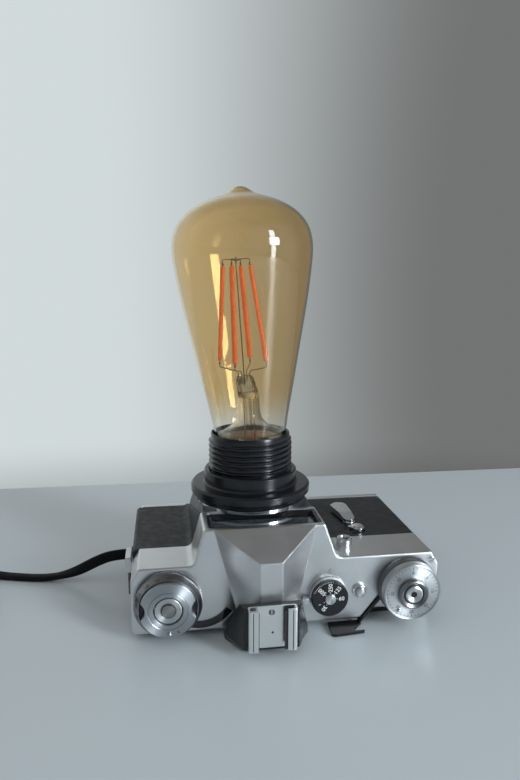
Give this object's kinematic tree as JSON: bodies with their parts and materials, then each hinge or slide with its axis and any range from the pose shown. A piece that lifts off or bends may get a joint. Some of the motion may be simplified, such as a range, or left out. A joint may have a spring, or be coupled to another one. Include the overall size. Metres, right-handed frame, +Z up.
{
  "type": "camera lamp",
  "caption": "Table lamp made from a film camera body lying on its back, with a threaded lampholder in the lens mount, an amber filament bulb and a coiled mains lead.",
  "frame": {"origin": "middle of the footprint of the camera and its bulb, at the table, the mains lead left out", "axes": "+Z up along the lens axis and the bulb, +Y towards the camera's base plate, -Y towards its top cover, +X to the viewer's right"},
  "size_m": [0.3371, 0.1048, 0.1939],
  "materials": {
    "satin_chrome": "satin chromed brass",
    "bright_chrome": "bright chrome",
    "grey_casting": "grey lacquered casting",
    "black_leatherette": "embossed black covering",
    "black_lacquer": "black lacquer",
    "black_plastic": "black thermoset",
    "black_glass": "glossy black",
    "window_glass": "clear window",
    "dark_steel": "plain steel",
    "brass": "plain brass",
    "amber_glass": "clear amber glass",
    "clear_glass": "clear glass",
    "phosphor": "orange coated strips",
    "nickel": "nickel plated brass",
    "black_rubber": "black sheath"
  },
  "bodies": {
    "camera": {"top_cover": "satin_chrome", "cover_screw": "bright_chrome", "body_casting": "grey_casting", "shutter_crate": "grey_casting", "mirror_housing": "grey_casting", "leatherette_left": "black_leatherette", "leatherette_right": "black_leatherette", "base_cover": "satin_chrome", "tripod_bush": "dark_steel", "mount_ring": "bright_chrome", "adapter_disc": "black_plastic", "meter_frame": "black_lacquer", "meter_glass": "window_glass", "needle_window": "black_glass", "sync_socket": "bright_chrome", "eyepiece_frame": "black_plastic", "eyepiece_glass": "window_glass", "shoe_bracket": "black_lacquer", "accessory_shoe": "satin_chrome", "shoe_screws": "dark_steel", "release_collar": "bright_chrome", "rewind_release_collar": "bright_chrome", "hinge_pin": "dark_steel", "latch_guide": "satin_chrome", "lampholder_shell": "black_plastic", "contact_block": "black_plastic", "centre_contact": "brass", "screw_shell": "brass", "terminal_screws": "dark_steel", "shade_ring": "black_plastic", "cord_bushing": "black_plastic", "inner_lead": "black_rubber", "cord_lead": "black_rubber", "cord_coil": "black_rubber", "plug_body": "black_plastic", "plug_pins": "nickel"},
    "bulb_contact": {"cap_contact": "dark_steel"},
    "bulb": {"bulb_glass": "amber_glass", "bulb_cap": "nickel", "bulb_stem": "clear_glass", "filaments": "phosphor"},
    "meter_ring": {"meter_ring": "satin_chrome"},
    "meter_disc": {"meter_disc": "satin_chrome"},
    "rewind_shaft": {"rewind_spindle": "dark_steel"},
    "rewind_crank": {"rewind_knob": "bright_chrome"},
    "wind_lever": {"wind_lever": "satin_chrome", "lever_tab": "black_plastic"},
    "counter": {"counter_dial": "satin_chrome"},
    "spool": {"take_up_spool": "black_plastic"},
    "sprocket": {"sprocket_shaft": "bright_chrome"},
    "release": {"release_button": "bright_chrome"},
    "sync_selector": {"sync_ring": "satin_chrome"},
    "speed_dial": {"speed_dial": "black_lacquer"},
    "rewind_unlock": {"rewind_release_button": "bright_chrome"},
    "timer_lever": {"timer_lever": "bright_chrome"},
    "timer_start": {"timer_button": "bright_chrome"},
    "door": {"back_door": "black_lacquer", "pressure_plate": "black_lacquer"},
    "latch": {"door_latch": "satin_chrome"}
  },
  "joints": [
    {"name": "bulb_lift", "type": "slide", "parent": "camera", "child": "bulb_contact", "axis": [0, 0, 1], "range_m": [0, 0.0182]},
    {"name": "bulb_turn", "type": "hinge", "parent": "bulb_contact", "child": "bulb", "pos_m": [-0.0108, 0.0106, 0.079], "axis": [0, 0, 1], "range_deg": [0, 1800]},
    {"name": "meter_ring_turn", "type": "hinge", "parent": "camera", "child": "meter_ring", "pos_m": [-0.05149, -0.0291, 0.0173], "axis": [0, -1, 0], "range_deg": [-60, 60]},
    {"name": "meter_disc_turn", "type": "hinge", "parent": "camera", "child": "meter_disc", "pos_m": [-0.05149, -0.0291, 0.0173], "axis": [0, -1, 0], "range_deg": [-75, 75]},
    {"name": "rewind_turn", "type": "hinge", "parent": "camera", "child": "rewind_shaft", "pos_m": [-0.05149, -0.0291, 0.0173], "axis": [0, -1, 0], "continuous": true},
    {"name": "rewind_pull", "type": "slide", "parent": "rewind_shaft", "child": "rewind_crank", "axis": [0, -1, 0], "range_m": [0, 0.008]},
    {"name": "wind_turn", "type": "hinge", "parent": "camera", "child": "wind_lever", "pos_m": [0.0547, -0.0291, 0.0179], "axis": [0, -1, 0], "range_deg": [0, 135], "stiffness_Nm_per_rad": 0.01, "springref_deg": -34.38},
    {"name": "counter_turn", "type": "hinge", "parent": "camera", "child": "counter", "pos_m": [0.0547, -0.0291, 0.0179], "axis": [0, -1, 0], "range_deg": [0, 10]},
    {"name": "spool_turn", "type": "hinge", "parent": "camera", "child": "spool", "pos_m": [0.05271, 0.0106, 0.0164], "axis": [0, -1, 0], "range_deg": [0, 400]},
    {"name": "sprocket_turn", "type": "hinge", "parent": "camera", "child": "sprocket", "pos_m": [0.02481, 0.0106, 0.0114], "axis": [0, -1, 0], "range_deg": [0, 365]},
    {"name": "release_press", "type": "slide", "parent": "camera", "child": "release", "axis": [0, 1, 0], "range_m": [0, 0.0025], "stiffness_N_per_m": 400, "springref_m": -0.001},
    {"name": "sync_turn", "type": "hinge", "parent": "camera", "child": "sync_selector", "pos_m": [0.01851, -0.0291, 0.0159], "axis": [0, -1, 0], "range_deg": [0, 25]},
    {"name": "speed_turn", "type": "hinge", "parent": "camera", "child": "speed_dial", "pos_m": [0.01851, -0.0291, 0.0159], "axis": [0, -1, 0], "range_deg": [-120, 150]},
    {"name": "unlock_press", "type": "slide", "parent": "camera", "child": "rewind_unlock", "axis": [0, 1, 0], "range_m": [0, 0.0014], "stiffness_N_per_m": 300, "springref_m": -0.001},
    {"name": "timer_turn", "type": "hinge", "parent": "camera", "child": "timer_lever", "pos_m": [0.039, 0.0094, 0.035], "axis": [0, 0, -1], "range_deg": [0, 110]},
    {"name": "timer_press", "type": "slide", "parent": "camera", "child": "timer_start", "axis": [0, 0, -1], "range_m": [0, 0.0013], "stiffness_N_per_m": 300, "springref_m": -0.001},
    {"name": "door_swing", "type": "hinge", "parent": "camera", "child": "door", "pos_m": [0.0679, 0.0106, 0.0022], "axis": [0, -1, 0], "range_deg": [0, 110]},
    {"name": "latch_slide", "type": "slide", "parent": "camera", "child": "latch", "axis": [0, 1, 0], "range_m": [0, 0.004]}
  ],
  "couplings": [
    {"joint": "bulb_lift", "follows": "bulb_turn", "m_per_rad": 0.00057757},
    {"joint": "counter_turn", "follows": "wind_turn", "ratio": 0.074074},
    {"joint": "sprocket_turn", "follows": "wind_turn", "ratio": 2.6667},
    {"joint": "spool_turn", "follows": "wind_turn", "ratio": 2.8889}
  ]
}
